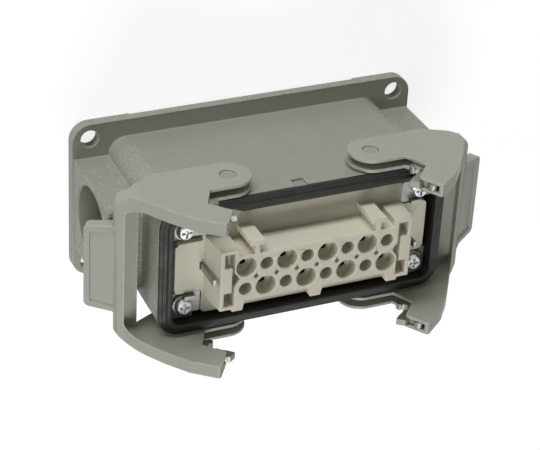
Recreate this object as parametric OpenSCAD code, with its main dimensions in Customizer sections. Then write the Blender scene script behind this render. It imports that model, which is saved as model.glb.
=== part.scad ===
// Surface-mounting heavy duty rectangular connector housing, 16 poles, with
// two locking levers and a female screw-terminal insert.
// X runs along the connector, Y across it, Z towards the mating side.
// Z = 0 is the underside of the foot plate, and all sizes are in mm.

/* [Foot plate] */
// length of the foot plate
plate_l = 116; // [113:0.5:122]
// width of the foot plate
plate_w = 54; // [52:0.5:60]
// thickness of the foot plate at its four pads
plate_t = 3.5; // [3:0.1:5]
// corner radius of the foot plate
plate_r = 6; // [3:0.5:8]
// mounting hole spacing along the connector
mount_px = 104.5; // [103:0.5:106]
// mounting hole spacing across the connector
mount_py = 44; // [43:0.5:45]
// diameter of the mounting holes
mount_d = 6; // [4.5:0.1:6.4]
// length of each corner pad under the plate
pad_l = 19.5; // [14:0.5:26]
// depth of the relief between the pads
pad_relief = 0.6; // [0.2:0.1:1]

/* [Housing body] */
// distance between corner arc centres, along
body_cx = 80.4; // [80:0.2:81]
// distance between corner arc centres, across
body_cy = 30.2; // [29.6:0.2:30.4]
// outer corner radius at the foot plate
body_r_foot = 6; // [5.4:0.1:6.6]
// outer corner radius at the rim
body_r_rim = 7.05; // [6.8:0.05:7.1]
// height of the housing rim above the wall it stands on
rim_h = 50.6; // [50:0.1:51.5]
// wall thickness
wall_t = 2.8; // [2.5:0.1:3]
// floor thickness
floor_t = 4; // [3.4:0.1:6]
// width of the recess for the seal's tab, on the back wall
tab_w = 4; // [3:0.5:6]
// height of that recess below the rim
tab_h = 4.2; // [3:0.1:5]
// depth of that recess in the wall
tab_d = 0.8; // [0.4:0.1:1.2]
// its distance from the middle of the wall
tab_x = -1.7; // [-4:0.1:4]

/* [Cable entry] */
// width of the entry boss at each end
boss_w = 30.8; // [30:0.1:32]
// height of the top of the boss
boss_h = 36; // [35:0.5:36.5]
// radius along the upper edges of the boss
boss_r = 3; // [1:0.5:4]
// how far the boss face stands back from the end of the plate
boss_back = 0.4; // [0.2:0.1:1]
// diameter of the cable entry
entry_d = 27; // [24:0.5:28]
// height of its axis
entry_z = 20; // [18.5:0.5:20.5]
// width of the chamfer around its mouth
entry_chamfer = 0.6; // [0.2:0.1:0.8]

/* [Screw lugs] */
// insert screw spacing along the connector
lug_px = 77.5; // [77.2:0.1:77.8]
// insert screw spacing across it
lug_py = 26.4; // [26:0.1:26.8]
// outer diameter of a lug
lug_d = 7.4; // [7:0.2:8]
// height of a lug
lug_l = 12; // [9:0.5:13]
// depth of the threaded hole in a lug
lug_hole_l = 9; // [7:0.5:9]

/* [Lever pegs] */
// distance between the two pegs of one side
peg_px = 47; // [46:0.2:48]
// height of the pegs
peg_z = 44.9; // [44.4:0.1:45.4]
// diameter of a peg
peg_d = 5.1; // [4.6:0.1:5.4]
// how far the end of a peg stands back in its lever
peg_back = 0.35; // [0.1:0.05:0.7]
// radial clearance between a peg and its lever
peg_clear = 0.08; // [0.05:0.01:0.10]

/* [Seal] */
// thickness of the seal on the rim
seal_t = 1.6; // [1.2:0.1:2]
// height of its inner bead above that
bead_h = 1.1; // [0.6:0.1:1.4]
// width of the bead
bead_w = 1.9; // [1.4:0.1:2.2]
// thickness of the skirt inside the rim
skirt_t = 1.1; // [0.8:0.1:1.2]
// how far the skirt hangs down
skirt_h = 4.4; // [3:0.2:5]
// width of the outer step in the seal
seal_step_w = 1.1; // [0.6:0.1:1.4]
// height of that step
seal_step_h = 0.5; // [0.3:0.1:0.8]
// clearance of the skirt around the screw lugs
seal_lift = 0.2; // [0.1:0.1:0.5]

/* [Insert] */
// contact pitch
pole_pitch = 6.64; // [6.6:0.02:6.66]
// distance between the two rows
row_pitch = 7.68; // [7.6:0.04:7.8]
// height of the mating face
face_z = 61.1; // [60.5:0.1:62]
// length of the contact block
block_l = 53.2; // [53:0.1:53.4]
// width of the contact block
block_w = 16; // [15.8:0.1:16.4]
// top of the flange
flange_z = 50.4; // [50.2:0.1:50.6]
// thickness of the flange
flange_t = 2.6; // [2.2:0.1:3]
// length of the flange
flange_l = 83.6; // [83:0.2:84]
// width of the flange between its corner cut-outs
flange_mid_w = 17.6; // [17:0.2:18]
// width of the flange over the wiring block
flange_w = 33.6; // [33:0.2:34]
// length of the wide part of the flange
flange_wide_l = 66; // [65:0.5:67]
// depth of the wiring block under the flange
wiring_h = 21; // [18:0.5:22]
// length of the wiring block
wiring_l = 64; // [62:0.5:64.5]
// width of the wiring block
wiring_w = 27; // [26:0.2:28]

/* [Insert face] */
// diameter of the wide sockets
wide_d = 6.6; // [6.2:0.1:6.8]
// how far the flat of a wide socket lies from its axis
wide_flat = 2.95; // [2.7:0.05:3.1]
// diameter of the narrow sockets
narrow_d = 4.24; // [4:0.02:4.3]
// depth of the sockets down to the contacts
socket_depth = 3.9; // [3:0.1:3.9]
// diameter of the test holes between the rows
test_d = 1.5; // [1.2:0.1:1.7]
// depth of the test holes
test_depth = 3; // [2:0.5:3.5]
// length of an earth section beyond the contact block
earth_l = 4.8; // [4.6:0.1:5.2]
// width of an earth section
earth_w = 20.6; // [20:0.2:21]
// wall thickness of an earth section
earth_wall = 1.2; // [1:0.1:1.3]
// taper of an earth section from its foot to the face
earth_taper = 1.2; // [0.6:0.1:1.6]
// width of the closed key between the two windows
key_w = 7.6; // [7:0.2:8.4]
// depth of the windows
window_depth = 3.8; // [3:0.1:3.9]
// width of the notch in each end of the block
vee_w = 5; // [4:0.5:6]
// depth of that notch
vee_d = 1.4; // [1:0.1:1.8]

/* [Guide ribs] */
// width across the head of a T rib
tee_w = 4.6; // [4:0.1:5]
// thickness of the head
tee_t = 1.7; // [1.4:0.1:2]
// thickness of the stem
stem_t = 1.7; // [1.4:0.1:2]
// height of a T rib above the block
tee_h = 4.4; // [4:0.1:5]
// height of the stub ribs on the front side
stub_h = 3.2; // [2.6:0.1:3.6]
// width of a stub rib at its foot
stub_w = 5; // [4.4:0.1:5.4]
// width at its top
stub_top_w = 3.4; // [3:0.1:3.8]
// length of a stub rib
stub_l = 7; // [5:0.5:9]

/* [Contacts] */
// outer diameter of a socket contact
contact_d = 3.6; // [3.4:0.1:3.8]
// bore of a socket contact
contact_bore = 2.5; // [2.3:0.1:2.6]
// depth of that bore
contact_bore_l = 9; // [7:0.5:11]
// length of a socket contact
contact_l = 30; // [28:0.5:32]
// side of the square clamping end
contact_sq = 4.4; // [4.2:0.1:4.6]
// height of the clamping end
contact_sq_h = 9; // [8:0.5:9.5]

/* [Screws] */
// head diameter of an insert fixing screw
fix_head_d = 5.6; // [5.2:0.1:6]
// head height of it
fix_head_h = 2; // [1.6:0.1:2.2]
// thread diameter of it
fix_d = 3; // [2.8:0.1:3.2]
// length of it under the head
fix_l = 9; // [8:0.5:9]
// head diameter of a terminal screw
term_head_d = 4.6; // [4.2:0.1:5]
// thread diameter of it
term_d = 3; // [2.6:0.1:3.2]
// length of a terminal screw
term_l = 7; // [6:0.5:7.5]
// depth of the cross recess in the heads
recess_depth = 1.1; // [0.8:0.1:1.3]

/* [Earth plates] */
// thickness of the earth plates
earth_t = 1.2; // [1:0.1:1.4]
// width of an earth plate
earth_plate_w = 7; // [6.4:0.1:7.2]
// width of the contact blade on it
blade_w = 2.2; // [1.8:0.1:2.6]
// thickness of the contact blade
blade_t = 0.8; // [0.6:0.1:1]
// side clearance of the blade in its slot
blade_gap = 0.2; // [0.1:0.05:0.3]
// how far the end of the blade stands below the mating face
blade_low = 0.3; // [0:0.1:1]
// height of the tab beside the fixing screw
lug_tab_h = 2.2; // [1.6:0.1:2.6]
// length of that tab
lug_tab_l = 3.6; // [3:0.1:4]
// height of the earth terminal screw above the foot of the wiring block
earth_screw_h = 7; // [5:0.5:12]

/* [Levers] */
// thickness of a lever arm
arm_t = 4.4; // [4.2:0.1:4.8]
// gap between a lever arm and the rim
arm_gap = 0.35; // [0.3:0.05:0.5]
// radius of the eye around the peg
eye_r = 7.1; // [6.8:0.1:7.3]
// thickness of the outer cheek of an arm
cheek_out = 1.1; // [0.9:0.1:1.3]
// thickness of the inner cheek of an arm
cheek_in = 1.1; // [1:0.1:1.4]
// from the peg to the inner edge of the cross bar
bail_x = 32.5; // [31.5:0.1:33.5]
// height of that edge above the peg
bail_z = 0.7; // [0:0.1:1.5]
// thickness of the cross bar and the handle
handle_t = 3.6; // [3:0.1:4]
// slope of the handle
handle_slope = 32.5; // [28:0.5:36]
// length of the handle from that edge
handle_l = 12.5; // [11.5:0.1:13.5]
// width of the cross bar along the handle
bail_w = 3.5; // [3:0.1:4]
// width of the handle next to the cross bar
handle_w = 30.6; // [29:0.2:32]
// width of the handle at its outer edge
handle_tip_w = 28; // [26:0.2:29]
// corner radius of the handle
handle_r = 1.8; // [1:0.1:2.4]
// depth of the plain recess in the handle
pane_d = 0.6; // [0.3:0.1:1]
// border around that recess
pane_border = 1.8; // [1.4:0.1:2.4]
// outer corner radius of the lever in plan
bail_r = 8; // [7:0.5:11]

/* [Hook] */
// foot of the notch, from the peg along
notch_foot_x = 8.5; // [8:0.1:9]
// deepest point of the notch, along
notch_x = 12; // [11.4:0.1:12.6]
// its height above the peg
notch_z = 13.8; // [13.2:0.1:14.4]
// corner of the hook over the notch, along
hook_in_x = 6.5; // [6:0.1:7]
// its height
hook_in_z = 19.9; // [19.4:0.1:20.2]
// tip of the hook, along
hook_tip_x = 11.2; // [10.6:0.1:11.8]
// its height
hook_tip_z = 26.9; // [26.4:0.1:27.4]
// upper bend of the back edge, along
back_top_x = 18.9; // [18.4:0.1:19.4]
// its height
back_top_z = 20.7; // [20.2:0.1:21.2]
// middle bend of the back edge, along
back_mid_x = 24.2; // [23.8:0.1:24.8]
// its height
back_mid_z = 13.9; // [13.4:0.1:14.4]
// rounding of the hook's corners
hook_r = 1; // [0.6:0.1:1.3]
// length of the straight lower edge, from the peg
lower_edge_x = 21; // [20:0.5:22]
// wall left around the slot in an arm
slot_wall = 1.5; // [1.2:0.1:2]

/* [Hook plates] */
// side clearance of a hook plate between the cheeks
plate_side = 0.05; // [0.02:0.01:0.1]
// middle of the rounded catch at the mouth of the notch, along
catch_x = 9; // [8.7:0.1:9.3]
// its height
catch_z = 11.6; // [11.3:0.1:11.8]
// radius of the catch
catch_r = 1.3; // [1.25:0.05:1.4]
// middle of the plate's round notch behind the catch, along
throat_x = 8.9; // [8.6:0.1:9.1]
// its height
throat_z = 14.3; // [14.1:0.1:14.5]
// radius of that notch
throat_r = 1.5; // [1.45:0.05:1.6]
// tip of the nose in front of the hook, along
nose_x = 3.6; // [3.4:0.1:4]
// its height
nose_z = 19.5; // [19.3:0.1:19.7]
// lower corner of the nose, along
nose_low_x = 5.9; // [5.7:0.1:6.1]
// its height
nose_low_z = 21.3; // [21.1:0.1:21.5]
// middle of the bow in the open end of the hook, along
bow_x = 9.9; // [9.8:0.1:10.2]
// its height
bow_z = 22.7; // [22.5:0.1:22.9]
// radius of the bow
bow_r = 1.6; // [1.4:0.1:1.7]

/* [Hidden] */
$fn = 48;
poles_row = 8;
e = 0.01;
cx = body_cx / 2;
cy = body_cy / 2;
body_h = rim_h - plate_t;
boss_x = plate_l / 2 - boss_back;
cav_r_rim = body_r_rim - wall_t;
cav_r_foot = body_r_foot - wall_t;
peg_x = peg_px / 2;
arm_y0 = cy + body_r_rim + arm_gap;
arm_y1 = arm_y0 + arm_t;
slot_y0 = arm_y0 + cheek_in;
slot_y1 = arm_y1 - cheek_out;
peg_end_y = arm_y1 - peg_back;
ear_z = flange_z - 0.5;
lug_top = ear_z - earth_t;
field_x = block_l / 2;
field_y = block_w / 2;
earth_x = field_x + earth_l;
hs = sin(handle_slope);
hc = cos(handle_slope);
wiring_z = flange_z - flange_t - wiring_h;
contact_top = face_z - socket_depth;
term_z = contact_top - contact_l + contact_sq_h / 2;
plate_root_z = eye_r - 1;
blade_x = -earth_x - earth_taper - blade_gap;
earth_screw_z = wiring_z + earth_screw_h;
lug_cut_x = 2 * (cx - lug_px / 2 + lug_d / 2 + seal_lift);
lug_cut_y = 2 * (cy - lug_py / 2 + lug_d / 2 + seal_lift);

// ---- shared shapes ----

// block with rounded corners whose radius grows from r1 to r2 with height
module drafted(r1, r2, z0, z1) {
    h = z1 - z0;
    translate([0, 0, z0]) {
        rotate([90, 0, 0]) translate([0, 0, -cy])
            linear_extrude(2 * cy)
                polygon([[-cx - r1, 0], [cx + r1, 0], [cx + r2, h], [-cx - r2, h]]);
        rotate([90, 0, 90]) translate([0, 0, -cx])
            linear_extrude(2 * cx)
                polygon([[-cy - r1, 0], [cy + r1, 0], [cy + r2, h], [-cy - r2, h]]);
        for (sx = [-1, 1], sy = [-1, 1])
            translate([sx * cx, sy * cy, 0]) cylinder(h = h, r1 = r1, r2 = r2);
    }
}

module plate2d(l, w, r) {
    square([l - 2 * r, w], center = true);
    square([l, w - 2 * r], center = true);
    for (sx = [-1, 1], sy = [-1, 1])
        translate([sx * (l / 2 - r), sy * (w / 2 - r)]) circle(r);
}

module box(x0, x1, y0, y1, z0, z1) {
    translate([x0, y0, z0]) cube([x1 - x0, y1 - y0, z1 - z0]);
}

module cross_recess(d, depth) {
    for (a = [0, 90]) rotate([0, 0, a])
        translate([-d / 2, -d / 10, -depth]) cube([d, d / 5, depth + 1]);
}

// places its child at the four insert screws
module at_lugs() {
    for (sx = [-1, 1], sy = [-1, 1])
        translate([sx * lug_px / 2, sy * lug_py / 2, 0]) children();
}

// ---- housing ----

module cable_boss(s) {
    yb = boss_w / 2 - boss_r;
    x1 = s > 0 ? cx : -boss_x;
    x2 = s > 0 ? boss_x : -cx;
    box(x1, x2, -boss_w / 2, boss_w / 2, 0.5 * plate_t, boss_h - boss_r);
    box(x1, x2, -yb, yb, 0.5 * plate_t, boss_h);
    for (sy = [-1, 1])
        translate([x1, sy * yb, boss_h - boss_r]) rotate([0, 90, 0])
            cylinder(h = x2 - x1, r = boss_r);
}

module lug_block(sx, sy) {
    x = sx * lug_px / 2;
    y = sy * lug_py / 2;
    z0 = lug_top - lug_l;
    translate([x, y, z0]) cylinder(h = lug_l, d = lug_d);
    xe = sx * (cx + cav_r_foot + 2);
    ye = sy * (cy + cav_r_foot + 2);
    box(min(x, xe), max(x, xe), y - lug_d / 2, y + lug_d / 2, z0, lug_top);
    box(x - lug_d / 2, x + lug_d / 2, min(y, ye), max(y, ye), z0, lug_top);
    box(min(x, xe), max(x, xe), min(y, ye), max(y, ye), z0, lug_top);
}

module housing() {
    color([0.62, 0.63, 0.58]) difference() {
        union() {
            difference() {
                linear_extrude(plate_t) plate2d(plate_l, plate_w, plate_r);
                box(-plate_l / 2 + pad_l, plate_l / 2 - pad_l, -plate_w, plate_w, -1, pad_relief);
            }
            difference() {
                union() {
                    drafted(body_r_foot, body_r_rim, plate_t - 1, rim_h);
                    for (s = [-1, 1]) cable_boss(s);
                }
                drafted(cav_r_foot, cav_r_rim, floor_t, rim_h + e);
            }
            intersection() {
                drafted(body_r_foot - 1, body_r_rim - 1, plate_t, rim_h - 1);
                for (sx = [-1, 1], sy = [-1, 1]) lug_block(sx, sy);
            }
            for (sx = [-1, 1], sy = [-1, 1])
                translate([sx * peg_x, sy > 0 ? cy + 4 : -peg_end_y, peg_z])
                    rotate([-90, 0, 0]) cylinder(h = peg_end_y - cy - 4, d = peg_d);
        }
        for (sx = [-1, 1], sy = [-1, 1])
            translate([sx * mount_px / 2, sy * mount_py / 2, -1])
                cylinder(h = plate_t + 2, d = mount_d);
        at_lugs() translate([0, 0, lug_top - lug_hole_l]) cylinder(h = lug_hole_l + 1, d = fix_d);
        translate([-boss_x - 1, 0, entry_z]) rotate([0, 90, 0])
            cylinder(h = boss_x - cx + 2, d = entry_d);
        translate([-boss_x - e, 0, entry_z]) rotate([0, 90, 0])
            cylinder(h = entry_chamfer, d1 = entry_d + 2 * entry_chamfer, d2 = entry_d);
        box(tab_x - tab_w / 2, tab_x + tab_w / 2, cy + body_r_rim - tab_d - 0.1, cy + body_r_rim + 1,
            rim_h - tab_h, rim_h + 1);
    }
}

// ---- seal ----

module rim_seal() {
    rs = cav_r_rim - skirt_t;
    color([0.07, 0.07, 0.07]) difference() {
        union() {
            drafted(body_r_rim, body_r_rim, rim_h, rim_h + seal_t - seal_step_h);
            drafted(body_r_rim - seal_step_w, body_r_rim - seal_step_w, rim_h, rim_h + seal_t);
            drafted(rs + bead_w, rs + bead_w * 0.8, rim_h, rim_h + seal_t + bead_h);
            drafted(skirt_r(rim_h - skirt_h), skirt_r(rim_h), rim_h - skirt_h, rim_h + e);
        }
        drafted(rs, rs, rim_h - skirt_h - 1, rim_h + seal_t + bead_h + 1);
        for (sx = [-1, 1], sy = [-1, 1]) translate([sx * cx, sy * cy, rim_h - skirt_h - 1])
            linear_extrude(lug_top + seal_lift - rim_h + skirt_h + 1) square([lug_cut_x, lug_cut_y], center = true);
    }
}

// radius of the cavity wall at height z
function skirt_r(z) = cav_r_foot + (cav_r_rim - cav_r_foot) * (z - floor_t) / (rim_h - floor_t);

// ---- insert ----

// true where the socket is a wide one
function is_wide(row, i) = (row == 0) == (i % 2 == 0);

module socket2d(row, i) {
    if (is_wide(row, i)) intersection() {
        circle(d = wide_d);
        translate([-wide_d, (row == 0 ? wide_flat : wide_d) - 2 * wide_d])
            square([2 * wide_d, 2 * wide_d]);
    }
    else circle(d = narrow_d);
}

function pole_x(i) = (i - (poles_row - 1) / 2) * pole_pitch;
function pole_y(row) = (row == 0 ? 1 : -1) * row_pitch / 2;

module at_poles() {
    for (row = [0, 1], i = [0 : poles_row - 1])
        translate([pole_x(i), pole_y(row), 0]) children();
}

// one end of the insert: earth section with windows, key and notch
module earth_section() {
    yw = earth_w / 2;
    z0 = flange_z - 1;
    rotate([90, 0, 0]) translate([0, 0, -yw]) linear_extrude(2 * yw)
        polygon([[field_x - 1, z0], [earth_x + earth_taper, z0], [earth_x, face_z],
            [field_x - 1, face_z]]);
}

module earth_cuts() {
    yw = earth_w / 2 - earth_wall;
    for (s = [-1, 1])
        box(field_x + 0.3, earth_x - earth_wall, s > 0 ? key_w / 2 + 0.6 : -yw,
            s > 0 ? yw : -key_w / 2 - 0.6, face_z - window_depth, face_z + 1);
    box(field_x + 0.3, field_x + 1.2, -yw, yw, face_z - window_depth, face_z + 1);
    translate([0, 0, face_z - window_depth]) linear_extrude(window_depth + 1)
        polygon([[field_x + 0.4, -vee_w / 2], [field_x - vee_d, 0], [field_x + 0.4, vee_w / 2]]);
}

module tee_rib(x) {
    translate([x, field_y, flange_z - 0.5]) {
        translate([-stem_t / 2, -1, 0]) cube([stem_t, tee_h + 0.5, face_z - flange_z + 0.5]);
        translate([-tee_w / 2, tee_h - tee_t, 0]) cube([tee_w, tee_t, face_z - flange_z + 0.5]);
    }
}

module stub_rib(x) {
    translate([x, -field_y, face_z - stub_l]) linear_extrude(stub_l)
        polygon([[-stub_w / 2, 0.5], [-stub_top_w / 2, -stub_h], [stub_top_w / 2, -stub_h],
            [stub_w / 2, 0.5]]);
}

module insert_body() {
    color([0.72, 0.70, 0.63]) difference() {
        union() {
            box(-field_x, field_x, -field_y, field_y, flange_z - 1, face_z);
            for (a = [0, 180]) rotate([0, 0, a]) earth_section();
            for (s = [-1, 1]) tee_rib(s * 3 * pole_pitch);
            for (k = [-1, 0, 1]) stub_rib(k * (field_x - stub_w / 2 + 1.6));
            translate([0, 0, flange_z - flange_t]) {
                linear_extrude(flange_t) plate2d(flange_l, flange_mid_w, 1.5);
                linear_extrude(flange_t) plate2d(flange_wide_l, flange_w, 1.5);
            }
            box(-wiring_l / 2, wiring_l / 2, -wiring_w / 2, wiring_w / 2, wiring_z, flange_z - 1);
            for (s = [-1, 1]) insert_ear(s);
        }
        for (row = [0, 1], i = [0 : poles_row - 1]) translate([pole_x(i), pole_y(row), 0]) {
            translate([0, 0, contact_top]) linear_extrude(socket_depth + 1) socket2d(row, i);
            translate([0, 0, contact_top - contact_l + contact_sq_h - 1])
                cylinder(h = contact_l - contact_sq_h + 1 + e, d = contact_d);
            translate([-contact_sq / 2, -contact_sq / 2, wiring_z - 1])
                cube([contact_sq, contact_sq, contact_top - contact_l + contact_sq_h - wiring_z + 1]);
            s = row == 0 ? 1 : -1;
            translate([0, 0, term_z]) rotate([-90 * s, 0, 0])
                cylinder(h = wiring_w, d = term_head_d + 0.2);
        }
        for (i = [0 : poles_row - 2])
            translate([pole_x(i) + pole_pitch / 2, 0, face_z - test_depth])
                cylinder(h = test_depth + 1, d = test_d, $fn = 24);
        for (a = [0, 180]) rotate([0, 0, a]) earth_cuts();
        for (a = [0, 180]) rotate([0, 0, a]) {
            blade_slot();
            translate([-wiring_l / 2 - 1, 0, earth_screw_z]) rotate([0, 90, 0])
                cylinder(h = 5, d = fix_d + 0.2);
        }
        at_lugs() translate([0, 0, lug_top - 1]) cylinder(h = 10, d = fix_d + 0.4);
    }
}

// moulded ear for the fixing screw at the two corners without an earth plate
module insert_ear(s) {
    x = s * lug_px / 2;
    y = -s * lug_py / 2;
    translate([x, y, lug_top]) cylinder(h = earth_t, d = lug_d - 0.6);
    box(min(x, s * flange_wide_l / 2 - s), max(x, s * flange_wide_l / 2 - s), y - 2.6, y + 2.6,
        lug_top, lug_top + earth_t);
}

module blade_slot() {
    box(blade_x - blade_t - blade_gap, blade_x + blade_gap, -blade_w / 2 - blade_gap,
        blade_w / 2 + blade_gap, flange_z - flange_t - 1, flange_z + 1);
}

// ---- contacts ----

module socket_contact(n) {
    row = n <= poles_row ? 0 : 1;
    i = (n - 1) % poles_row;
    s = row == 0 ? 1 : -1;
    color([0.78, 0.74, 0.62]) translate([pole_x(i), pole_y(row), contact_top - contact_l])
        difference() {
            union() {
                translate([0, 0, contact_sq_h - 1]) cylinder(h = contact_l - contact_sq_h + 1, d = contact_d);
                translate([-contact_sq / 2, -contact_sq / 2, 0])
                    cube([contact_sq, contact_sq, contact_sq_h]);
            }
            translate([0, 0, contact_l - contact_bore_l]) cylinder(h = contact_bore_l + 1, d = contact_bore);
            translate([0, 0, -1]) cylinder(h = contact_sq_h - 1, d = 2.9);
            translate([0, 0, contact_sq_h / 2]) rotate([-90 * s, 0, 0]) cylinder(h = contact_sq, d = term_d);
        }
}

// ---- screws ----

module terminal_screws() {
    color([0.80, 0.80, 0.78]) for (row = [0, 1], i = [0 : poles_row - 1])
        translate([pole_x(i), pole_y(row), term_z])
            rotate([row == 0 ? -90 : 90, 0, 0]) difference() {
                union() {
                    translate([0, 0, 0.4]) cylinder(h = contact_sq / 2 + 0.1, d = term_d);
                    translate([0, 0, contact_sq / 2]) cylinder(h = term_l - 5, d = term_head_d);
                }
                translate([-term_head_d, -0.3, contact_sq / 2 + term_l - 5 - 0.8])
                    cube([2 * term_head_d, 0.6, 2]);
            }
}

module insert_screws() {
    color([0.80, 0.80, 0.78]) at_lugs() translate([0, 0, ear_z]) difference() {
        union() {
            translate([0, 0, -fix_l]) cylinder(h = fix_l + 0.5, d = fix_d);
            cylinder(h = fix_head_h * 0.55, d = fix_head_d);
            translate([0, 0, fix_head_h * 0.55])
                cylinder(h = fix_head_h * 0.45, d1 = fix_head_d, d2 = fix_head_d * 0.72);
        }
        translate([0, 0, fix_head_h]) cross_recess(fix_head_d * 0.62, recess_depth);
    }
}

// earth plate of the left end: an eye under the fixing screw, a strap below the
// flange, a leg down the wiring block and a contact blade up through the flange
module earth_plate() {
    x = -lug_px / 2;
    y = -lug_py / 2;
    ye = y + earth_plate_w / 2;
    zf = flange_z - flange_t;
    xl = -wiring_l / 2;
    hw = earth_plate_w / 2;
    color([0.82, 0.81, 0.78]) difference() {
        union() {
            translate([x, y, lug_top]) cylinder(h = earth_t, d = earth_plate_w - 0.4);
            box(x, -flange_wide_l / 2 - 0.2, y - hw + 0.6, ye + 0.6, lug_top, lug_top + earth_t);
            box(x - 0.3, x - 0.3 + lug_tab_l, ye - 0.6, ye + 0.6, lug_top, ear_z + lug_tab_h);
            box(xl - 3.4, -flange_wide_l / 2 - 0.2, ye - 0.6, ye + 0.6, zf - earth_t, lug_top + earth_t);
            box(xl - 3.4, xl, ye - 0.6, hw, zf - earth_t, zf);
            box(xl - earth_t, xl, -hw, hw, wiring_z + 2, zf);
            box(blade_x - blade_t, blade_x, -blade_w / 2, blade_w / 2, zf - earth_t, face_z - blade_low);
        }
        translate([x, y, lug_top - 1]) cylinder(h = earth_t + 2, d = fix_d + 0.2);
        translate([xl - 3, 0, earth_screw_z]) rotate([0, 90, 0]) cylinder(h = 4, d = fix_d + 0.2);
    }
}

module earth_plate_left() {
    earth_plate();
}

module earth_plate_right() {
    rotate([0, 0, 180]) earth_plate();
}

module earth_screws() {
    color([0.80, 0.80, 0.78]) for (a = [0, 180]) rotate([0, 0, a])
        translate([-wiring_l / 2 - earth_t, 0, earth_screw_z]) rotate([0, -90, 0]) difference() {
            union() {
                translate([0, 0, -earth_t - 3.5]) cylinder(h = earth_t + 4, d = fix_d);
                cylinder(h = 2.4, d = fix_head_d + 0.6);
            }
            translate([0, 0, 2.4]) cross_recess(fix_head_d * 0.62, recess_depth);
        }
}

// ---- levers ----

// side outline of the right lever, seen from the front, with the peg as origin
module arm2d() {
    low = [bail_x, bail_z] - handle_t * [hs, hc];
    out = [bail_x, bail_z] + bail_w * [hc, -hs];
    circle(eye_r);
    offset(r = hook_r) offset(delta = -hook_r) polygon([
        [0, -eye_r], [lower_edge_x, -eye_r], low, out - handle_t * [hs, hc], out,
        [bail_x, bail_z], [back_mid_x, back_mid_z], [back_top_x, back_top_z],
        [hook_tip_x, hook_tip_z], [hook_in_x, hook_in_z], [notch_x, notch_z],
        [notch_foot_x, eye_r], [0, eye_r]]);
}

// the slot between the two cheeks of an arm
module slot2d() {
    w = slot_wall;
    polygon([
        [-eye_r - 1, -eye_r - 1], [9, -eye_r - 1], [14, -eye_r + 2.5], [18, 4],
        [back_mid_x - 3.6 * w, back_mid_z - w], [back_top_x - 1.2 * w, back_top_z - 0.8 * w],
        [hook_tip_x + 0.1 * w, hook_tip_z - 1.6 * w], [hook_tip_x - 3, hook_tip_z + 1],
        [-eye_r - 1, hook_tip_z]]);
}

// extrudes a side outline from y0 to y1 at the peg
module side(y0, y1) {
    translate([peg_x, y1, peg_z]) rotate([90, 0, 0]) linear_extrude(y1 - y0) children();
}

module handle_plate() {
    translate([peg_x + bail_x, 0, peg_z + bail_z]) rotate([0, handle_slope, 0]) difference() {
        translate([0, 0, -handle_t]) linear_extrude(handle_t) handle2d(0);
        translate([0, 0, -pane_d]) linear_extrude(handle_t) handle2d(pane_border);
    }
}

module handle2d(b) {
    u0 = bail_w * 0.55 + (b > 0 ? 0.6 : 0);
    offset(r = b > 0 ? 0.3 : handle_r) offset(delta = b > 0 ? -0.3 : -handle_r)
        polygon([[u0, -handle_w / 2 + b], [handle_l - b, -handle_tip_w / 2 + b],
            [handle_l - b, handle_tip_w / 2 - b], [u0, handle_w / 2 - b]]);
}

module lever() {
    x1 = peg_x + bail_x + bail_w * hc;
    ri = bail_r - arm_t + 1;
    difference() {
        union() {
            intersection() {
                side(-arm_y1, arm_y1) arm2d();
                linear_extrude(200) difference() {
                    union() {
                        translate([0, -arm_y1]) square([x1 - bail_r, 2 * arm_y1]);
                        translate([0, -arm_y1 + bail_r]) square([x1, 2 * (arm_y1 - bail_r)]);
                        for (s = [-1, 1]) translate([x1 - bail_r, s * (arm_y1 - bail_r)]) circle(bail_r);
                    }
                    bail_window(peg_x + bail_x - handle_t * hs * 0, ri);
                }
            }
            handle_plate();
        }
        for (s = [-1, 1]) side(s > 0 ? slot_y0 : -slot_y1, s > 0 ? slot_y1 : -slot_y0) slot2d();
        translate([peg_x, -arm_y1 - 1, peg_z]) rotate([-90, 0, 0])
            cylinder(h = 2 * arm_y1 + 2, d = peg_d + 2 * peg_clear);
    }
}

module bail_window(x, r) {
    translate([-50, -arm_y0]) square([x - r + 50, 2 * arm_y0]);
    translate([-50, -arm_y0 + r]) square([x + 50, 2 * (arm_y0 - r)]);
    for (s = [-1, 1]) translate([x - r, s * (arm_y0 - r)]) circle(r);
}

module lever_right() {
    color([0.60, 0.61, 0.56]) lever();
}

module lever_left() {
    color([0.60, 0.61, 0.56]) mirror([1, 0, 0]) lever();
}

// ---- hook plates ----

// points of an arc round c, from angle a0 to a1
function arc_pts(c, r, a0, a1, n) =
    [for (k = [0 : n]) c + r * [cos(a0 + (a1 - a0) * k / n), sin(a0 + (a1 - a0) * k / n)]];

// side outline of the steel plate in the hook, with the peg as origin
module hook_plate2d() {
    polygon(concat(
        [[catch_x + 2.5, plate_root_z]],
        arc_pts([catch_x, catch_z], catch_r, 300, 105, 12),
        arc_pts([throat_x, throat_z], throat_r, -95, 125, 14),
        [[throat_x - 1.6, throat_z + 2.2], [nose_x + 1.4, nose_z - 1.4], [nose_x, nose_z],
            [nose_low_x, nose_low_z], [bow_x - 2, bow_z - 2]],
        arc_pts([bow_x, bow_z], bow_r, 215, 60, 10),
        [[bow_x + 3.4, bow_z - 0.8], [back_mid_x - 8, back_mid_z + 3.4],
            [back_mid_x - 8, back_mid_z - 1], [back_mid_x - 9.6, plate_root_z]]));
}

module hook_plate(s) {
    y0 = slot_y0 + plate_side;
    y1 = slot_y1 - plate_side;
    color([0.80, 0.80, 0.80]) side(s > 0 ? y0 : -y1, s > 0 ? y1 : -y0) hook_plate2d();
}

module hook_plate_right_back() {
    hook_plate(1);
}

module hook_plate_right_front() {
    hook_plate(-1);
}

module hook_plate_left_back() {
    mirror([1, 0, 0]) hook_plate(1);
}

module hook_plate_left_front() {
    mirror([1, 0, 0]) hook_plate(-1);
}

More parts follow.
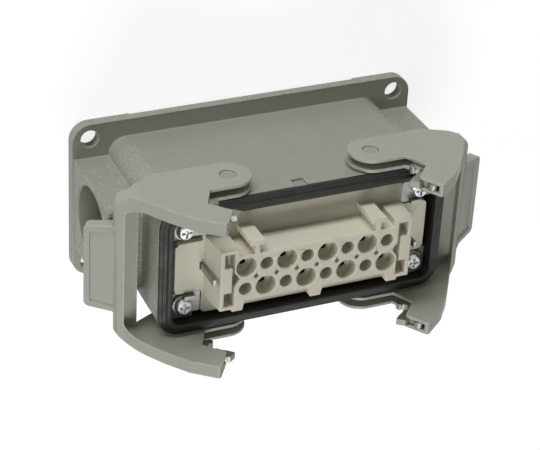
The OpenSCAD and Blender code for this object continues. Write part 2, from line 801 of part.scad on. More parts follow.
housing();
rim_seal();
insert_body();
socket_contact(1);  // socket_01
socket_contact(2);  // socket_02
socket_contact(3);  // socket_03
socket_contact(4);  // socket_04
socket_contact(5);  // socket_05
socket_contact(6);  // socket_06
socket_contact(7);  // socket_07
socket_contact(8);  // socket_08
socket_contact(9);  // socket_09
socket_contact(10);  // socket_10
socket_contact(11);  // socket_11
socket_contact(12);  // socket_12
socket_contact(13);  // socket_13
socket_contact(14);  // socket_14
socket_contact(15);  // socket_15
socket_contact(16);  // socket_16
terminal_screws();
insert_screws();
earth_plate_left();
earth_plate_right();
earth_screws();
lever_left();
lever_right();
hook_plate_left_back();
hook_plate_left_front();
hook_plate_right_back();
hook_plate_right_front();
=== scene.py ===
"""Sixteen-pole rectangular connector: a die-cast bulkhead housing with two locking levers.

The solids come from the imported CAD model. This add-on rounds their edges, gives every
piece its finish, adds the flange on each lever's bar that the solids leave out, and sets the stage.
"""

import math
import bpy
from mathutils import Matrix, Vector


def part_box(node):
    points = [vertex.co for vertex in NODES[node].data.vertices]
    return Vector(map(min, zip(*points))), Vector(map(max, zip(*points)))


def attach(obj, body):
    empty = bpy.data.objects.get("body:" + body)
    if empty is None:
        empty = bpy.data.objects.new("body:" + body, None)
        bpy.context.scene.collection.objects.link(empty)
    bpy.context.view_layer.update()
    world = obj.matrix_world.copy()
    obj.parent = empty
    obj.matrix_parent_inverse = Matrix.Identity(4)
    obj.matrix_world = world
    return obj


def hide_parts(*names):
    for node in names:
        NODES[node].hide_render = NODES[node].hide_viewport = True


bl_info = {
    "name": "Rectangular connector housing",
    "version": (1, 0, 0),
    "blender": (4, 5, 0),
    "location": "3D View > Sidebar > Connector",
    "description": "Finishes for a die-cast connector housing with two locking levers",
    "category": "Object",
}

import bmesh
import bpy
from bpy.props import FloatProperty, FloatVectorProperty, PointerProperty
from bpy.types import Operator, Panel, PropertyGroup
from mathutils import Matrix, Vector
from mathutils.bvhtree import BVHTree

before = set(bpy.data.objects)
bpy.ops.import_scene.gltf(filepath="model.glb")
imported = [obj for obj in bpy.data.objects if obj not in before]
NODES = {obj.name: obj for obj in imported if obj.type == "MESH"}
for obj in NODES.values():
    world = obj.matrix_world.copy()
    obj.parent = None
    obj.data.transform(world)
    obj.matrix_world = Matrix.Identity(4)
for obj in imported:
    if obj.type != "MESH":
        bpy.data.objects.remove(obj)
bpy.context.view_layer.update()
ENDS = ("left", "right")
SOCKETS = ["socket_%02d" % (i + 1) for i in range(16)]
HOOK_PLATES = ["hook_plate_%s_%s" % (end, side) for end in ENDS for side in ("back", "front")]

# Where the rough-cast areas of the housing fade in, in metres from the middle of its foot.
CAST_ENDS = (0.0365, 0.0405)
CAST_FOOT_EDGES = (0.0262, 0.0268)
CAST_ABOVE_FOOT = (0.006, 0.012)
CAST_BELOW_RIM = (0.056, 0.050)
SMOOTH_CAST = 0.1  # how much the casting's lumps show everywhere else, and on the levers

# Edge rounding: faces that meet at more than EDGE_ANGLE degrees get a round edge.
EDGE_ANGLE = 32
FLAT_ANGLE = 0.4  # degrees: faces that turn less than this are one flat
ONE_POINT = 2e-6  # metres: points closer than this are one point
SLIVER = 1e-13  # square metres: a smaller face is left out
STRAY = 0.45  # of the radius: a point farther than this from the solid goes back onto it

# The stage, in metres.
FLOOR_HALF = 3.0
FLOOR_GLOW_NEAR, FLOOR_GLOW_FAR = 0.82, 1.0
FLOOR_GLOW_CHANGE = (0.2, 1.2)  # distances from the part over which the glow rises
LAMP_AIM = (0, 0, 0.04)
LAMPS = (  # name, setting of its power, place, width and height
    ("Key lamp", "key", (-0.15, 0.85, 0.12), (0.8, 0.22)),
    ("Side lamp", "side", (-0.80, 0.15, 0.30), (0.5, 0.4)),
    ("Front lamp", "front", (-0.15, -0.55, 0.74), (0.5, 0.4)),
)
CAMERA_PLACE = (-0.2294, 0.3181, 0.5132)
CAMERA_RIGHT = (0.916, 0.049, 0.399)
CAMERA_BACK = (-0.365, 0.516, 0.775)  # away from what the camera looks at
SENSOR_WIDTH = 36.0  # mm


def tone(red, green, blue):
    """The linear colour of a paint chip given in 0 to 255."""
    out = []
    for value in (red, green, blue):
        c = value / 255
        out.append(c / 12.92 if c <= 0.04045 else ((c + 0.055) / 1.055) ** 2.4)
    return tuple(out)


def colour(name, about, chip):
    """A colour that the user can change."""
    return FloatVectorProperty(
        name=name, description=about, subtype="COLOR", size=3, min=0, max=1, default=tone(*chip)
    )


def length(name, about, default, high):
    """A size in metres that the user can change."""
    return FloatProperty(
        name=name, description=about, default=default, min=0, max=high, unit="LENGTH", precision=5
    )


def share(name, about, default):
    """A part of one, such as a roughness."""
    return FloatProperty(
        name=name, description=about, default=default, min=0, max=1, subtype="FACTOR"
    )


def power(name, about, default):
    """The power of a lamp."""
    return FloatProperty(name=name, description=about, default=default, min=0, max=50)


# ---------------------------------------------------------------- sizes and colours


class HousingSettings(PropertyGroup):
    paint: colour("Paint", "Colour of the housing's powder paint", (143, 145, 133))
    edge: colour("Worn edge", "Paint where it thins over an edge", (186, 187, 178))
    shine: share("Roughness", "Roughness of the paint", 0.47)
    edge_round: length("Edge rounding", "Radius on the casting's outer edges", 0.0006, 0.002)
    grain: length("Grain", "Size of the paint's fine grain", 0.00042, 0.01)
    cast: length("Cast lumps", "Size of the lumps on the rough-cast flanks", 0.0006, 0.01)


class LeverSettings(PropertyGroup):
    paint: colour("Paint", "Colour of the levers' paint", (154, 156, 144))
    edge: colour("Worn edge", "Paint where it thins over an edge", (196, 197, 188))
    shine: share("Roughness", "Roughness of the paint", 0.44)
    edge_round: length("Edge rounding", "Radius on the levers' edges", 0.0003, 0.002)
    arm_thick: length("Arm thickness", "Through both walls of an arm", 0.0044, 0.01)
    bar_inside: length("Bar's inner face", "From the middle of the housing to the bar", 0.0562, 0.1)
    flange_reach: length("Flange reach", "How far the bar's flange stands in", 0.0052, 0.006)
    flange_thick: length("Flange thickness", "Thickness of the bar's flange", 0.0019, 0.004)
    flange_low: length("Flange height", "Height of the flange's underside", 0.0414, 0.06)
    flange_fillet: length("Flange fillet", "Radius where it runs into the arms", 0.0016, 0.004)


class SealSettings(PropertyGroup):
    rubber: colour("Rubber", "Colour of the seal", (20, 20, 18))
    dust: colour("Bloom", "Grey bloom and dust on the rubber", (62, 62, 58))
    shine: share("Roughness", "Roughness of the rubber", 0.5)
    edge_round: length("Edge rounding", "Radius on the seal's edges", 0.0003, 0.002)


class InsertSettings(PropertyGroup):
    plastic: colour("Plastic", "Colour of the moulded insert", (207, 203, 185))
    edge: colour("Worn edge", "Plastic where it is rubbed along an edge", (226, 222, 210))
    dust: colour("Dust", "Dust on the plastic", (150, 146, 134))
    shine: share("Roughness", "Roughness of the moulded plastic", 0.42)
    edge_round: length("Edge rounding", "Radius on the insert's edges", 0.00016, 0.001)


class MetalSettings(PropertyGroup):
    contact: colour("Contacts", "Colour of the sockets' plating", (150, 144, 128))
    zinc: colour("Screws", "Colour of the zinc-plated screws", (203, 204, 205))
    strap: colour("Earth straps", "Colour of the earth straps", (156, 156, 153))
    plate: colour("Hook plates", "Colour of the hook plates", (128, 127, 120))
    shine: share("Roughness", "Roughness of the plated steel", 0.27)
    edge_round: length("Edge rounding", "Radius on the metal parts' edges", 0.0001, 0.001)


class StageSettings(PropertyGroup):
    floor: colour("Floor", "Colour of the floor", (150, 150, 150))
    key: power("Key lamp", "Power of the key lamp, in watts", 5.6)
    side: power("Side lamp", "Power of the lamp at the entry end, in watts", 2.3)
    front: power("Front lamp", "Power of the lamp in front of the mating face, in watts", 5.1)
    sky: share("Room light", "Strength of the even light from all round", 0.07)
    lens: FloatProperty(
        name="Lens", description="Focal length, in mm", default=132.58, min=20, max=400
    )


# ---------------------------------------------------------------- node trees


class Tree:
    """Short ways to place nodes in one tree and to wire them."""

    def __init__(self, tree):
        self.tree = tree

    def add(self, kind, **settings):
        node = self.tree.nodes.new(kind)
        for key, value in settings.items():
            setattr(node, key, value)
        return node

    def put(self, socket, value):
        if isinstance(value, bpy.types.NodeSocket):
            self.tree.links.new(value, socket)
        elif value is not None:
            socket.default_value = value

    def math(self, operation, a, b=None, clamp=False):
        node = self.add("ShaderNodeMath", operation=operation, use_clamp=clamp)
        self.put(node.inputs[0], a)
        self.put(node.inputs[1], b)
        return node.outputs[0]

    def blend(self, a, share_a, b, share_b):
        """The sum of a and b, each taken at its share."""
        first = self.math("MULTIPLY", a, share_a)
        return self.math("ADD", first, self.math("MULTIPLY", b, share_b))

    def place(self, squeeze=(1, 1, 1)):
        """The point on the part, in metres, moving with its piece."""
        point = self.add("ShaderNodeTexCoord").outputs["Object"]
        if tuple(squeeze) == (1, 1, 1):
            return point
        node = self.add("ShaderNodeVectorMath", operation="MULTIPLY")
        self.put(node.inputs[0], point)
        self.put(node.inputs[1], squeeze)
        return node.outputs[0]

    def noise(self, point, scale, detail=3.0, rough=0.55):
        node = self.add("ShaderNodeTexNoise")
        self.put(node.inputs["Vector"], point)
        self.put(node.inputs["Scale"], scale)
        node.inputs["Detail"].default_value = detail
        node.inputs["Roughness"].default_value = rough
        return node.outputs[0]

    def step(self, value, low, high, to_low=0.0, to_high=1.0):
        node = self.add("ShaderNodeMapRange", interpolation_type="SMOOTHSTEP")
        names = ("Value", "From Min", "From Max", "To Min", "To Max")
        for name, given in zip(names, (value, low, high, to_low, to_high)):
            self.put(node.inputs[name], given)
        return node.outputs[0]

    def mix(self, amount, a, b):
        """Colour a turning into colour b. The node's colour sockets are 6 and 7 in, 2 out."""
        node = self.add("ShaderNodeMix", data_type="RGBA")
        self.put(node.inputs[0], amount)
        self.put(node.inputs[6], a)
        self.put(node.inputs[7], b)
        return node.outputs[2]

    def group(self, group, **values):
        node = self.add("ShaderNodeGroup", node_tree=group)
        for key, value in values.items():
            self.put(node.inputs[key.replace("_", " ")], value)
        return node.outputs


KINDS = {"f": "NodeSocketFloat", "c": "NodeSocketColor"}


def new_group(name, takes, gives):
    """A shader node group: its tree helper, the values that it takes and those that it gives."""
    group = bpy.data.node_groups.new(name, "ShaderNodeTree")
    sockets = group.interface
    for label, kind, default in takes:
        socket = sockets.new_socket(name=label, in_out="INPUT", socket_type=KINDS[kind])
        socket.default_value = default
    for label, kind in gives:
        sockets.new_socket(name=label, in_out="OUTPUT", socket_type=KINDS[kind])
    t = Tree(group)
    return t, t.add("NodeGroupInput").outputs, t.add("NodeGroupOutput").inputs


def make_grain():
    """Fine grain of paint or moulded plastic."""
    t, i, o = new_group("Fine grain", [("Size", "f", 0.0004)], [("Height", "f")])
    scale = t.math("DIVIDE", 1.0, i["Size"])
    coarse = t.noise(t.place(), scale, 2.0)
    fine = t.noise(t.place(), t.math("MULTIPLY", scale, 2.9), 2.0)
    t.put(o["Height"], t.blend(coarse, 0.7, fine, 0.3))
    return t.tree


def make_mottle():
    """Slow and quick changes of tone over a painted, moulded or plated face."""
    takes = [("Color", "c", (0.5, 0.5, 0.5, 1)), ("Patch", "f", 0.012), ("Amount", "f", 0.06)]
    t, i, o = new_group("Mottle", takes, [("Color", "c")])
    scale = t.math("DIVIDE", 1.0, i["Patch"])
    slow = t.noise(t.place(), scale, 3.0)
    quick = t.noise(t.place(), t.math("MULTIPLY", scale, 19.0), 2.0)
    both = t.math("SUBTRACT", t.blend(slow, 1.2, quick, 0.8), 1.0)
    gain = t.math("ADD", 1.0, t.math("MULTIPLY", both, t.math("MULTIPLY", i["Amount"], 2.0)))
    node = t.add("ShaderNodeVectorMath", operation="SCALE")
    t.put(node.inputs[0], i["Color"])
    t.put(node.inputs["Scale"], gain)
    t.put(o["Color"], node.outputs[0])
    return t.tree


def make_edge_wear():
    """Mask that is 1 along the outer edges of a piece and breaks up with noise."""
    takes = [("Radius", "f", 0.0006), ("Amount", "f", 1.0)]
    t, i, o = new_group("Edge wear", takes, [("Mask", "f")])
    bevel = t.add("ShaderNodeBevel", samples=6)
    t.put(bevel.inputs["Radius"], i["Radius"])
    dot = t.add("ShaderNodeVectorMath", operation="DOT_PRODUCT")
    t.put(dot.inputs[0], bevel.outputs[0])
    t.put(dot.inputs[1], t.add("ShaderNodeNewGeometry").outputs["Normal"])
    edge = t.step(dot.outputs["Value"], 0.99, 0.86)
    torn = t.step(t.noise(t.place(), 900.0, 4.0), 0.34, 0.62, 0.35, 1.0)
    t.put(o["Mask"], t.math("MULTIPLY", t.math("MULTIPLY", edge, torn), i["Amount"], clamp=True))
    return t.tree


def make_rough_cast():
    """Lumps of a sand-rough casting under paint."""
    t, i, o = new_group("Rough cast", [("Size", "f", 0.0009)], [("Height", "f")])
    scale = t.math("DIVIDE", 1.0, i["Size"])
    lump = t.add("ShaderNodeTexVoronoi", feature="SMOOTH_F1")
    t.put(lump.inputs["Vector"], t.place())
    t.put(lump.inputs["Scale"], scale)
    rounded = t.step(lump.outputs["Distance"], 0.75, 0.1)
    t.put(o["Height"], t.blend(rounded, 0.6, t.noise(t.place(), scale, 4.0), 0.6))
    return t.tree


def make_dust():
    """Mask of fine specks and a thin film, thicker in patches."""
    t, i, o = new_group("Dust", [("Size", "f", 0.0003), ("Amount", "f", 0.3)], [("Mask", "f")])
    specks = t.step(t.noise(t.place(), t.math("DIVIDE", 1.0, i["Size"]), 2.0), 0.6, 0.72)
    film = t.step(t.noise(t.place(), 120.0, 3.0), 0.4, 0.7, 0.25, 1.0)
    t.put(o["Mask"], t.math("MULTIPLY", t.math("MULTIPLY", specks, film), i["Amount"], clamp=True))
    return t.tree


def make_drawn():
    """Fine drawing lines along x and pits, as on cold-formed and plated metal."""
    t, i, o = new_group("Drawn metal", [("Size", "f", 0.0002)], [("Height", "f"), ("Tone", "f")])
    scale = t.math("DIVIDE", 1.0, i["Size"])
    lines = t.noise(t.place((0.12, 1, 1)), scale, 3.0)
    pits = t.noise(t.place(), t.math("MULTIPLY", scale, 0.6), 4.0)
    t.put(o["Height"], t.blend(lines, 0.7, pits, 0.3))
    t.put(o["Tone"], t.step(pits, 0.3, 0.7))
    return t.tree


MAKERS = {
    "Fine grain": make_grain,
    "Mottle": make_mottle,
    "Edge wear": make_edge_wear,
    "Rough cast": make_rough_cast,
    "Dust": make_dust,
    "Drawn metal": make_drawn,
}


def effect(name):
    """The shader node group of that name, built the first time that it is asked for."""
    return bpy.data.node_groups.get(name) or MAKERS[name]()


def new_material(name):
    """An empty material, its tree helper and its Principled shader."""
    material = bpy.data.materials.new(name)
    material.use_nodes = True
    material.node_tree.nodes.clear()
    t = Tree(material.node_tree)
    shader = t.add("ShaderNodeBsdfPrincipled")
    t.put(t.add("ShaderNodeOutputMaterial").inputs["Surface"], shader.outputs[0])
    return material, t, shader


def bump(t, shader, height, depth, edge_round=0.0):
    """Height, in 0 to 1, raised by depth metres, on edges that catch the light as if rounded."""
    node = t.add("ShaderNodeBump")
    if edge_round > 0:
        soft = t.add("ShaderNodeBevel", samples=8)
        soft.inputs["Radius"].default_value = edge_round
        t.put(node.inputs["Normal"], soft.outputs[0])
    node.inputs["Strength"].default_value = 1.0
    node.inputs["Distance"].default_value = depth
    t.put(node.inputs["Height"], height)
    t.put(shader.inputs["Normal"], node.outputs[0])


def rgba(value):
    return (*value, 1.0)


def paint_material(name, paint, edge, shine, grain, cast, cast_share, wear, edge_round=0.0):
    """Powder paint over a casting. cast_share(t) says how rough the casting is, and where."""
    material, t, shader = new_material(name)
    base = t.group(effect("Mottle"), Color=rgba(paint), Patch=0.014, Amount=0.045)["Color"]
    mask = t.group(effect("Edge wear"), Radius=0.0007, Amount=wear)["Mask"]
    dust = t.group(effect("Dust"), Size=0.00035, Amount=0.22)["Mask"]
    lumps = t.group(effect("Rough cast"), Size=cast)["Height"]
    coarse = cast_share(t)
    bare = t.step(lumps, 0.62, 0.95)
    tips = t.math("MULTIPLY", bare, t.math("MULTIPLY", coarse, 0.5), clamp=True)
    worn = t.mix(mask, base, rgba(edge))
    t.put(shader.inputs["Base Color"], t.mix(tips, t.mix(dust, worn, rgba(edge)), rgba(edge)))
    tooth = t.noise(t.place(), 420.0, 3.0)
    t.put(shader.inputs["Roughness"], t.step(tooth, 0.25, 0.75, shine - 0.07, shine + 0.1))
    fine = t.group(effect("Fine grain"), Size=grain)["Height"]
    height = t.math("ADD", t.math("MULTIPLY", fine, 0.16), t.math("MULTIPLY", lumps, coarse))
    bump(t, shader, height, depth=0.00022, edge_round=edge_round)
    return material


# ---------------------------------------------------------------- pieces


def give(node, material):
    """The piece's only finish is this material."""
    slots = node.data.materials
    slots.clear()
    slots.append(material)


def add_bevel(obj, radius, segments, angle=EDGE_ANGLE, flats=False):
    """Joins the faces of an imported piece and rounds its edges."""
    weld = obj.modifiers.new("Join faces", "WELD")
    weld.merge_threshold = ONE_POINT
    if flats:
        flat = obj.modifiers.new("Whole flats", "DECIMATE")
        flat.decimate_type = "DISSOLVE"
        flat.angle_limit = math.radians(FLAT_ANGLE)
    edge = obj.modifiers.new("Rounded edges", "BEVEL")
    edge.width = radius
    edge.segments = segments
    edge.limit_method = "ANGLE"
    edge.angle_limit = math.radians(angle)
    edge.use_clamp_overlap = False
    edge.loop_slide = True


def even_shading(obj):
    """Flat faces shade flat, and the light turns only over the rounded edges."""
    even = obj.modifiers.new("Even shading", "WEIGHTED_NORMAL")
    even.weight = 100
    even.keep_sharp = False


def finish_pieces(names, material, radius):
    """CAD pieces that stay: rounded by modifiers, so that their solids aren't touched."""
    for name in names:
        if name not in NODES:
            raise RuntimeError("the frame has no piece named %s" % name)
        give(NODES[name], material)
        add_bevel(NODES[name], radius, segments=2)
        even_shading(NODES[name])


def face_as_solid(mesh, skin):
    """Turns every face the way the solid beneath it faces, and shades it by the solid's faces."""
    bm = bmesh.new()
    bm.from_mesh(mesh)
    bmesh.ops.triangulate(bm, faces=bm.faces[:])
    slivers = [f for f in bm.faces if f.calc_area() < SLIVER]
    bmesh.ops.delete(bm, geom=slivers, context="FACES_ONLY")
    bm.verts.ensure_lookup_table()
    turn = [Vector() for _ in bm.verts]
    for face in bm.faces:
        facing = skin.find_nearest(face.calc_center_median())[1]
        if facing.dot(face.normal) < 0:
            face.normal_flip()
        face.smooth = True
        for vertex in face.verts:
            turn[vertex.index] += facing * face.calc_area()
    bm.to_mesh(mesh)
    bm.free()
    up = Vector((0, 0, 1))
    mesh.normals_split_custom_set_from_vertices([n.normalized() if n.length else up for n in turn])


def rounded_copy(name, piece, radius, body, material):
    """A copy of a CAD piece with its edges rounded in the mesh, which stands for it."""
    cad = NODES[name]
    obj = bpy.data.objects.new(piece, cad.data.copy())
    bpy.context.scene.collection.objects.link(obj)
    add_bevel(obj, radius, segments=3, flats=True)
    shaped = obj.evaluated_get(bpy.context.evaluated_depsgraph_get())
    mesh = bpy.data.meshes.new_from_object(shaped)
    obj.modifiers.clear()
    obj.data = mesh
    points = [v.co for v in cad.data.vertices]
    skin = BVHTree.FromPolygons(points, [f.vertices for f in cad.data.polygons])
    for vertex in mesh.vertices:
        on_skin, _, _, away = skin.find_nearest(vertex.co)
        if away > STRAY * radius:
            vertex.co = on_skin
    face_as_solid(mesh, skin)
    give(obj, material)
    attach(obj, body)
    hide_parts(name)


class CONNECTOR_OT_housing(Operator):
    """Paint the die-cast housing and round its edges"""

    bl_idname = "connector.housing"
    bl_label = "Housing"

    def execute(self, context):
        s = context.scene.connector_housing

        def cast_share(t):
            split = t.add("ShaderNodeSeparateXYZ")
            t.put(split.inputs[0], t.place())
            x, y, z = split.outputs
            ends = t.step(t.math("ABSOLUTE", x), *CAST_ENDS)
            foot_edges = t.step(t.math("ABSOLUTE", y), *CAST_FOOT_EDGES)
            above_foot = t.step(z, *CAST_ABOVE_FOOT)
            below_rim = t.step(z, *CAST_BELOW_RIM)
            area = t.math("MULTIPLY", t.math("MULTIPLY", ends, above_foot), below_rim)
            patch = t.step(t.noise(t.place(), 70.0, 2.0), 0.35, 0.6, 0.45, 1.0)
            flanks = t.math("MULTIPLY", area, patch)
            rough = t.math("MAXIMUM", flanks, t.math("MULTIPLY", foot_edges, 0.6))
            return t.math("ADD", SMOOTH_CAST, t.math("MULTIPLY", rough, 1.25))

        material = paint_material(
            "Housing paint", s.paint, s.edge, s.shine, s.grain, s.cast, cast_share,
            wear=0.55, edge_round=s.edge_round,
        )
        give(NODES["housing"], material)
        return {"FINISHED"}


def lever_flange(side, s, material):
    """The flange that stiffens the bar of a lever, from arm to arm on its inner side."""
    way = -1 if side == "left" else 1
    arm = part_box("lever_" + side)[1].y - s.arm_thick
    inner = s.bar_inside - s.flange_reach
    steps = 8
    half = [(s.bar_inside, arm)]
    for k in range(steps + 1):
        a = math.radians(90 - 90 * k / steps)
        x = inner + s.flange_fillet * (math.cos(a) - 1)
        half.append((x, arm + s.flange_fillet * (math.sin(a) - 1)))
    outline = half + [(x, -y) for x, y in reversed(half)]
    bm = bmesh.new()
    low = bm.faces.new([bm.verts.new((way * x, y, s.flange_low)) for x, y in outline])
    new = bmesh.ops.extrude_face_region(bm, geom=[low])["geom"]
    raised = [v for v in new if isinstance(v, bmesh.types.BMVert)]
    bmesh.ops.translate(bm, vec=(0, 0, s.flange_thick), verts=raised)
    bmesh.ops.recalc_face_normals(bm, faces=bm.faces[:])
    mesh = bpy.data.meshes.new("lever_flange_" + side)
    bm.to_mesh(mesh)
    bm.free()
    obj = bpy.data.objects.new("lever_flange_" + side, mesh)
    bpy.context.scene.collection.objects.link(obj)
    for face in mesh.polygons:
        face.use_smooth = True
    give(obj, material)
    add_bevel(obj, radius=s.flange_thick * 0.15, segments=2, angle=50)
    obj.modifiers["Rounded edges"].use_clamp_overlap = True
    even_shading(obj)
    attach(obj, side + "_latch")


class CONNECTOR_OT_levers(Operator):
    """Paint the two locking levers and round their edges"""

    bl_idname = "connector.levers"
    bl_label = "Locking levers"

    def execute(self, context):
        s = context.scene.connector_lever
        h = context.scene.connector_housing
        material = paint_material(
            "Lever paint", s.paint, s.edge, s.shine, h.grain, h.cast, lambda t: SMOOTH_CAST,
            wear=0.7,
        )
        for side in ENDS:
            rounded_copy(
                "lever_" + side, "lever_casting_" + side, s.edge_round,
                side + "_latch", material,
            )
            lever_flange(side, s, material)
        return {"FINISHED"}


class CONNECTOR_OT_seal(Operator):
    """Give the rim seal its black rubber"""

    bl_idname = "connector.seal"
    bl_label = "Rim seal"

    def execute(self, context):
        s = context.scene.connector_seal
        material, t, shader = new_material("Seal rubber")
        base = t.group(effect("Mottle"), Color=rgba(s.rubber), Patch=0.009, Amount=0.16)["Color"]
        dust = t.group(effect("Dust"), Size=0.00028, Amount=0.55)["Mask"]
        t.put(shader.inputs["Base Color"], t.mix(dust, base, rgba(s.dust)))
        rub = t.noise(t.place(), 260.0)
        rough = t.step(rub, 0.3, 0.7, s.shine - 0.08, s.shine + 0.12)
        t.put(shader.inputs["Roughness"], rough)
        shader.inputs["Specular IOR Level"].default_value = 0.35
        grain = t.group(effect("Fine grain"), Size=0.0003)["Height"]
        bump(t, shader, grain, depth=0.00004)
        finish_pieces(["rim_seal"], material, s.edge_round)
        return {"FINISHED"}


class CONNECTOR_OT_insert(Operator):
    """Give the contact insert its moulded plastic"""

    bl_idname = "connector.insert"
    bl_label = "Contact insert"

    def execute(self, context):
        s = context.scene.connector_insert
        material, t, shader = new_material("Insert plastic")
        base = t.group(effect("Mottle"), Color=rgba(s.plastic), Patch=0.02, Amount=0.03)["Color"]
        mask = t.group(effect("Edge wear"), Radius=0.0004, Amount=0.35)["Mask"]
        dust = t.group(effect("Dust"), Size=0.00022, Amount=0.25)["Mask"]
        worn = t.mix(mask, base, rgba(s.edge))
        t.put(shader.inputs["Base Color"], t.mix(dust, worn, rgba(s.dust)))
        rub = t.noise(t.place(), 330.0)
        rough = t.step(rub, 0.3, 0.7, s.shine - 0.06, s.shine + 0.12)
        t.put(shader.inputs["Roughness"], rough)
        shader.inputs["Subsurface Weight"].default_value = 0.05
        shader.inputs["Subsurface Radius"].default_value = (0.0012, 0.0009, 0.0006)
        grain = t.group(effect("Fine grain"), Size=0.00035)["Height"]
        bump(t, shader, grain, depth=0.000035)
        finish_pieces(["insert_body"], material, s.edge_round)
        return {"FINISHED"}


def metal_material(name, metal, shine, grain, depth):
    """Plated metal with drawing lines, faint stains and pits."""
    material, t, shader = new_material(name)
    drawn = t.group(effect("Drawn metal"), Size=grain)
    base = t.group(effect("Mottle"), Color=rgba(metal), Patch=0.004, Amount=0.12)["Color"]
    dull = tuple(0.62 * v for v in metal)
    stain = t.math("MULTIPLY", drawn["Tone"], 0.35)
    t.put(shader.inputs["Base Color"], t.mix(stain, base, rgba(dull)))
    t.put(shader.inputs["Roughness"], t.math("ADD", shine, t.math("MULTIPLY", drawn["Tone"], 0.16)))
    shader.inputs["Metallic"].default_value = 1.0
    bump(t, shader, drawn["Height"], depth)
    return material


class CONNECTOR_OT_contacts(Operator):
    """Plate the sixteen socket contacts"""

    bl_idname = "connector.contacts"
    bl_label = "Socket contacts"

    def execute(self, context):
        s = context.scene.connector_metal
        material = metal_material(
            "Contact plating", s.contact, s.shine, grain=0.00016, depth=0.00001
        )
        finish_pieces(SOCKETS, material, s.edge_round * 0.8)
        return {"FINISHED"}


class CONNECTOR_OT_screws(Operator):
    """Plate the screws of the insert, the earth straps and the terminals"""

    bl_idname = "connector.screws"
    bl_label = "Screws"

    def execute(self, context):
        s = context.scene.connector_metal
        material = metal_material(
            "Screw zinc", s.zinc, s.shine, grain=0.00022, depth=0.00001
        )
        finish_pieces(["insert_screws", "earth_screws", "terminal_screws"], material, s.edge_round)
        return {"FINISHED"}


class CONNECTOR_OT_earth_plates(Operator):
    """Plate the two earth straps at the ends of the insert"""

    bl_idname = "connector.earth_plates"
    bl_label = "Earth straps"

    def execute(self, context):
        s = context.scene.connector_metal
        material = metal_material(
            "Earth strap zinc", s.strap, s.shine + 0.06, grain=0.0003, depth=0.00002
        )
        finish_pieces(["earth_plate_left", "earth_plate_right"], material, s.edge_round)
        return {"FINISHED"}


class CONNECTOR_OT_hook_plates(Operator):
    """Give the stamped hook plates their tumbled steel"""

    bl_idname = "connector.hook_plates"
    bl_label = "Hook plates"

    def execute(self, context):
        s = context.scene.connector_metal
        material = metal_material(
            "Hook plate steel", s.plate, s.shine + 0.15, grain=0.0004, depth=0.00004
        )
        finish_pieces(HOOK_PLATES, material, s.edge_round * 1.5)
        return {"FINISHED"}


# ---------------------------------------------------------------- stage


def lamp(name, place, size, watts):
    """A soft lamp at place, turned towards the part."""
    data = bpy.data.lights.new(name, "AREA")
    data.shape = "RECTANGLE"
    data.size, data.size_y = size
    data.energy = watts
    obj = bpy.data.objects.new(name, data)
    obj.location = place
    towards = Vector(LAMP_AIM) - Vector(place)
    obj.rotation_euler = towards.to_track_quat("-Z", "Y").to_euler()
    bpy.context.scene.collection.objects.link(obj)


def seen_directly(t):
    """1 for rays that show the surface or its mirror image, and 0 for the light that it throws."""
    path = t.add("ShaderNodeLightPath").outputs
    some = t.math("ADD", path["Is Camera Ray"], path["Is Glossy Ray"])
    return t.math("ADD", some, path["Is Transmission Ray"], clamp=True)


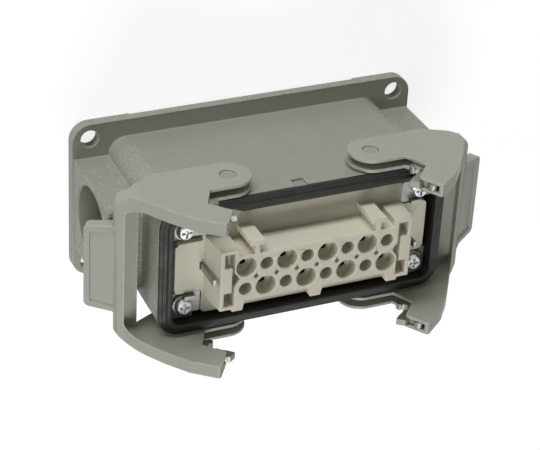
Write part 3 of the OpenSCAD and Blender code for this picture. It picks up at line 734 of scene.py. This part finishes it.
class CONNECTOR_OT_stage(Operator):
    """Lay the pale floor, hang the lamps and set up the camera"""

    bl_idname = "connector.stage"
    bl_label = "Stage"

    def execute(self, context):
        s = context.scene.connector_stage
        scene = context.scene
        mesh = bpy.data.meshes.new("Floor")
        bm = bmesh.new()
        bmesh.ops.create_grid(bm, x_segments=1, y_segments=1, size=FLOOR_HALF)
        bm.to_mesh(mesh)
        bm.free()
        floor = bpy.data.objects.new("Floor", mesh)
        scene.collection.objects.link(floor)
        material, t, shader = new_material("Floor")
        shader.inputs["Base Color"].default_value = rgba(s.floor)
        shader.inputs["Roughness"].default_value = 0.9
        shader.inputs["Specular IOR Level"].default_value = 0.1
        shader.inputs["Emission Color"].default_value = (1, 1, 1, 1)
        # The lamps' light falls off away from the part, and the floor's own glow makes up for it.
        far = t.add("ShaderNodeVectorMath", operation="LENGTH")
        t.put(far.inputs[0], t.add("ShaderNodeNewGeometry").outputs["Position"])
        glow = t.step(far.outputs["Value"], *FLOOR_GLOW_CHANGE, FLOOR_GLOW_NEAR, FLOOR_GLOW_FAR)
        t.put(shader.inputs["Emission Strength"], t.math("MULTIPLY", seen_directly(t), glow))
        mesh.materials.append(material)

        for name, setting, place, size in LAMPS:
            lamp(name, place, size, getattr(s, setting))

        world = bpy.data.worlds.new("Room")
        scene.world = world
        world.use_nodes = True
        back = world.node_tree.nodes["Background"]
        w = Tree(world.node_tree)
        back.inputs["Color"].default_value = (1, 1, 1, 1)
        w.put(back.inputs["Strength"], w.math("MAXIMUM", seen_directly(w), s.sky))

        data = bpy.data.cameras.new("Camera")
        data.lens = s.lens
        data.sensor_width = SENSOR_WIDTH
        data.sensor_fit = "HORIZONTAL"
        data.clip_start = 0.02
        camera = bpy.data.objects.new("Camera", data)
        backwards = Vector(CAMERA_BACK).normalized()
        up = backwards.cross(Vector(CAMERA_RIGHT)).normalized()
        right = up.cross(backwards).normalized()
        turn = Matrix((right, up, backwards)).transposed().to_4x4()
        camera.matrix_world = Matrix.Translation(CAMERA_PLACE) @ turn
        scene.collection.objects.link(camera)
        scene.camera = camera
        scene.view_settings.view_transform = "Standard"
        return {"FINISHED"}


# ---------------------------------------------------------------- add-on


OPERATORS = (
    CONNECTOR_OT_stage,
    CONNECTOR_OT_housing,
    CONNECTOR_OT_levers,
    CONNECTOR_OT_hook_plates,
    CONNECTOR_OT_seal,
    CONNECTOR_OT_insert,
    CONNECTOR_OT_contacts,
    CONNECTOR_OT_screws,
    CONNECTOR_OT_earth_plates,
)
SETTINGS = {
    "housing": HousingSettings,
    "lever": LeverSettings,
    "seal": SealSettings,
    "insert": InsertSettings,
    "metal": MetalSettings,
    "stage": StageSettings,
}


class CONNECTOR_PT_panel(Panel):
    """Sizes, colours and steps of the connector"""

    bl_idname = "CONNECTOR_PT_panel"
    bl_label = "Connector"
    bl_space_type = "VIEW_3D"
    bl_region_type = "UI"
    bl_category = "Connector"

    def draw(self, context):
        for name, kind in SETTINGS.items():
            box = self.layout.box()
            box.label(text=name.capitalize())
            group = getattr(context.scene, "connector_" + name)
            for key in kind.__annotations__:
                box.prop(group, key)
        for step in OPERATORS:
            self.layout.operator(step.bl_idname)


CLASSES = (*SETTINGS.values(), *OPERATORS, CONNECTOR_PT_panel)


def register():
    for cls in CLASSES:
        bpy.utils.register_class(cls)
    for name, kind in SETTINGS.items():
        setattr(bpy.types.Scene, "connector_" + name, PointerProperty(type=kind))


def unregister():
    for name in SETTINGS:
        delattr(bpy.types.Scene, "connector_" + name)
    for cls in reversed(CLASSES):
        bpy.utils.unregister_class(cls)


def main():
    register()
    for step in OPERATORS:
        area, name = step.bl_idname.split(".")
        getattr(getattr(bpy.ops, area), name)()


if __name__ == "__main__":
    main()
